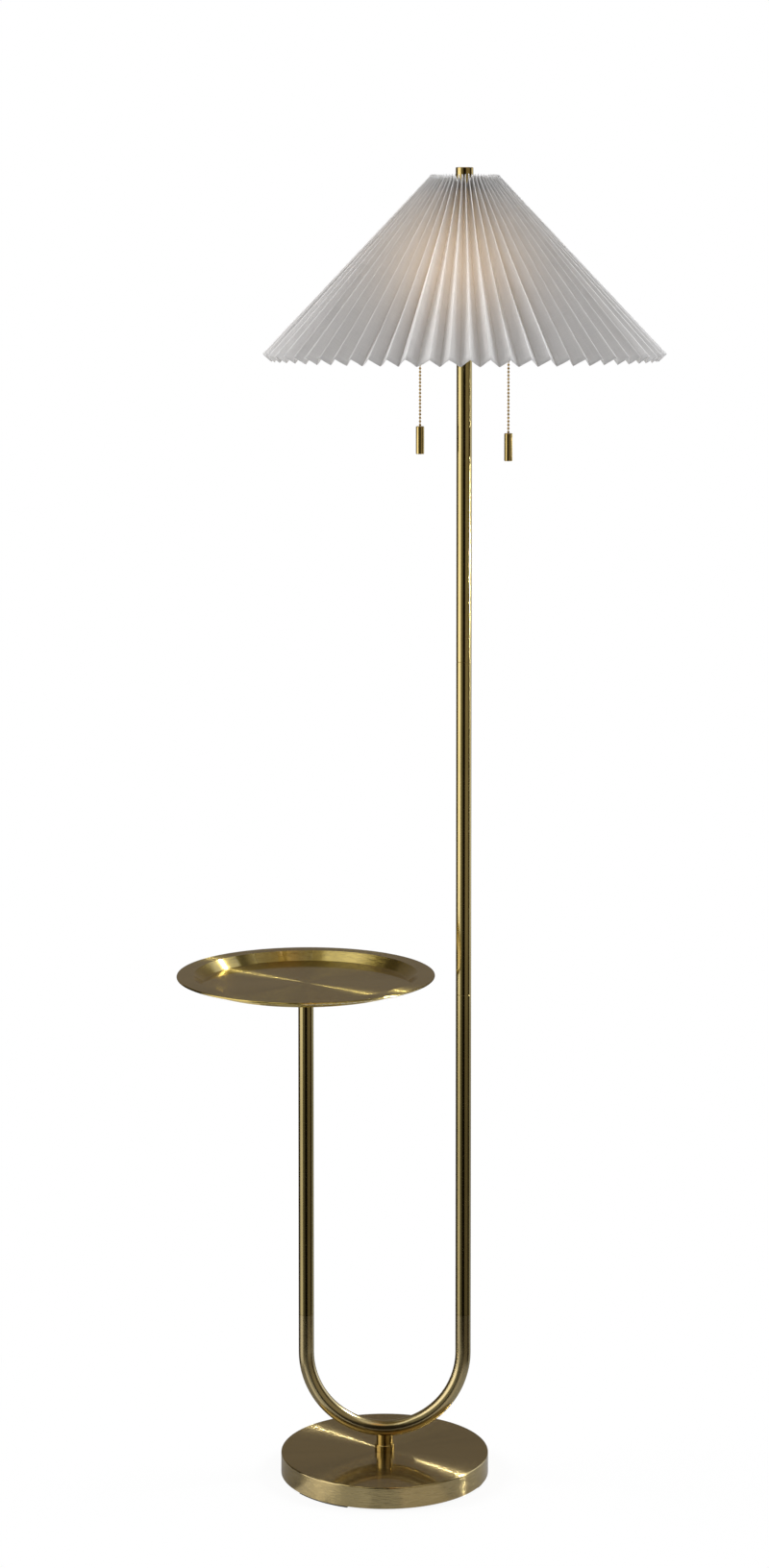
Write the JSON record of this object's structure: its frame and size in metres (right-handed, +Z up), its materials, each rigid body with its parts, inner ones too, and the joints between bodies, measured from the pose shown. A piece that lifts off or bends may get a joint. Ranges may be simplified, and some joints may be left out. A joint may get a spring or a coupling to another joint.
{
  "type": "floor lamp with table",
  "caption": "Floor lamp on a round base: a U-bend carries the lamp pole and a shorter leg with a round tray, under a pleated cone shade with pull chains.",
  "frame": {"origin": "centre of the round base, on the floor", "axes": "+Z up along the pole, +X towards the lamp pole, -X towards the tray, -Y the front"},
  "size_m": [0.556, 0.457, 1.4985],
  "materials": {
    "brushed_base": "circular brushed antique brass",
    "satin_brass": "satin antique brass",
    "antique_brass": "semi-gloss antique brass",
    "polished_brass": "semi-gloss brass",
    "spun_tray": "spun brushed brass",
    "chain_brass": "bright brass",
    "contact_brass": "plain",
    "black_cover": "matte black",
    "cast_iron": "rough cast",
    "zinc_steel": "zinc plated",
    "black_rubber": "matte",
    "black_phenolic": "moulded",
    "liner_board": "pressed board",
    "thread_aluminium": "bright",
    "bulb_glass": "frosted, warm white, lit",
    "pleated_fabric": "pleated translucent white weave",
    "white_wire": "white enamel"
  },
  "bodies": {
    "stand": {"base_shell": "brushed_base", "base_cover": "black_cover", "base_weight": "cast_iron", "cover_screws": "zinc_steel", "foot_pads": "black_rubber", "inlet_grommet": "black_rubber", "base_washer": "zinc_steel", "base_nut": "zinc_steel", "base_nipple": "zinc_steel", "stem_collar": "polished_brass", "stem_sleeve": "polished_brass", "bend_boss": "zinc_steel", "u_bend": "satin_brass", "tray_leg": "antique_brass", "pole_lower": "antique_brass", "pole_middle": "antique_brass", "pole_upper": "antique_brass", "bend_connectors": "zinc_steel", "pole_connectors": "zinc_steel", "tray_seat": "antique_brass", "tray": "spun_tray", "head_body": "polished_brass", "riser_rod": "polished_brass", "shade_seat": "polished_brass", "left_arm": "polished_brass", "left_socket_cap": "polished_brass", "left_socket_shell": "polished_brass", "left_socket_liner": "liner_board", "left_socket_core": "black_phenolic", "left_socket_contact": "contact_brass", "left_screw_shell": "thread_aluminium", "left_chain_guide": "polished_brass", "left_bulb_glass": "bulb_glass", "left_bulb_base": "thread_aluminium", "right_arm": "polished_brass", "right_socket_cap": "polished_brass", "right_socket_shell": "polished_brass", "right_socket_liner": "liner_board", "right_socket_core": "black_phenolic", "right_socket_contact": "contact_brass", "right_screw_shell": "thread_aluminium", "right_chain_guide": "polished_brass", "right_bulb_glass": "bulb_glass", "right_bulb_base": "thread_aluminium"},
    "shade": {"shade_cover": "pleated_fabric", "shade_frame": "white_wire", "shade_lower_ring": "white_wire"},
    "finial": {"finial_cap": "polished_brass"},
    "left_chain_top": {"left_chain_top": "chain_brass"},
    "left_drum": {"left_switch_drum": "black_phenolic"},
    "left_chain": {"left_chain": "chain_brass"},
    "left_pull": {"left_pull": "polished_brass"},
    "right_chain_top": {"right_chain_top": "chain_brass"},
    "right_drum": {"right_switch_drum": "black_phenolic"},
    "right_chain": {"right_chain": "chain_brass"},
    "right_pull": {"right_pull": "polished_brass"}
  },
  "joints": [
    {"name": "shade_turn", "type": "hinge", "parent": "stand", "child": "shade", "pos_m": [0.09, 0, 1.4709], "axis": [0, 0, 1], "continuous": true},
    {"name": "finial_turn", "type": "hinge", "parent": "stand", "child": "finial", "pos_m": [0.09, 0, 1.4824], "axis": [0, 0, 1], "continuous": true},
    {"name": "left_pull_slide", "type": "slide", "parent": "stand", "child": "left_chain_top", "axis": [0, 0, -1], "range_m": [0, 0.01], "stiffness_N_per_m": 400, "springref_m": -0.003},
    {"name": "left_drum_turn", "type": "hinge", "parent": "stand", "child": "left_drum", "pos_m": [0.0555, 0, 1.34125], "axis": [0, -1, 0], "range_deg": [0, 96]},
    {"name": "left_chain_swing", "type": "hinge", "parent": "left_chain_top", "child": "left_chain", "pos_m": [0.04, 0, 1.32965], "axis": [0, 1, 0], "range_deg": [-12.5, 25]},
    {"name": "left_pull_swing", "type": "hinge", "parent": "left_chain", "child": "left_pull", "pos_m": [0.04, 0, 1.20365], "axis": [1, 0, 0], "range_deg": [-15, 15]},
    {"name": "right_pull_slide", "type": "slide", "parent": "stand", "child": "right_chain_top", "axis": [0, 0, -1], "range_m": [0, 0.01], "stiffness_N_per_m": 400, "springref_m": -0.003},
    {"name": "right_drum_turn", "type": "hinge", "parent": "stand", "child": "right_drum", "pos_m": [0.1245, 0, 1.34125], "axis": [0, 1, 0], "range_deg": [0, 96]},
    {"name": "right_chain_swing", "type": "hinge", "parent": "right_chain_top", "child": "right_chain", "pos_m": [0.14, 0, 1.32965], "axis": [0, -1, 0], "range_deg": [-12.5, 25]},
    {"name": "right_pull_swing", "type": "hinge", "parent": "right_chain", "child": "right_pull", "pos_m": [0.14, 0, 1.19565], "axis": [1, 0, 0], "range_deg": [-15, 15]}
  ],
  "couplings": [
    {"joint": "left_drum_turn", "follows": "left_pull_slide", "rad_per_m": 166.67},
    {"joint": "right_drum_turn", "follows": "right_pull_slide", "rad_per_m": 166.67}
  ]
}
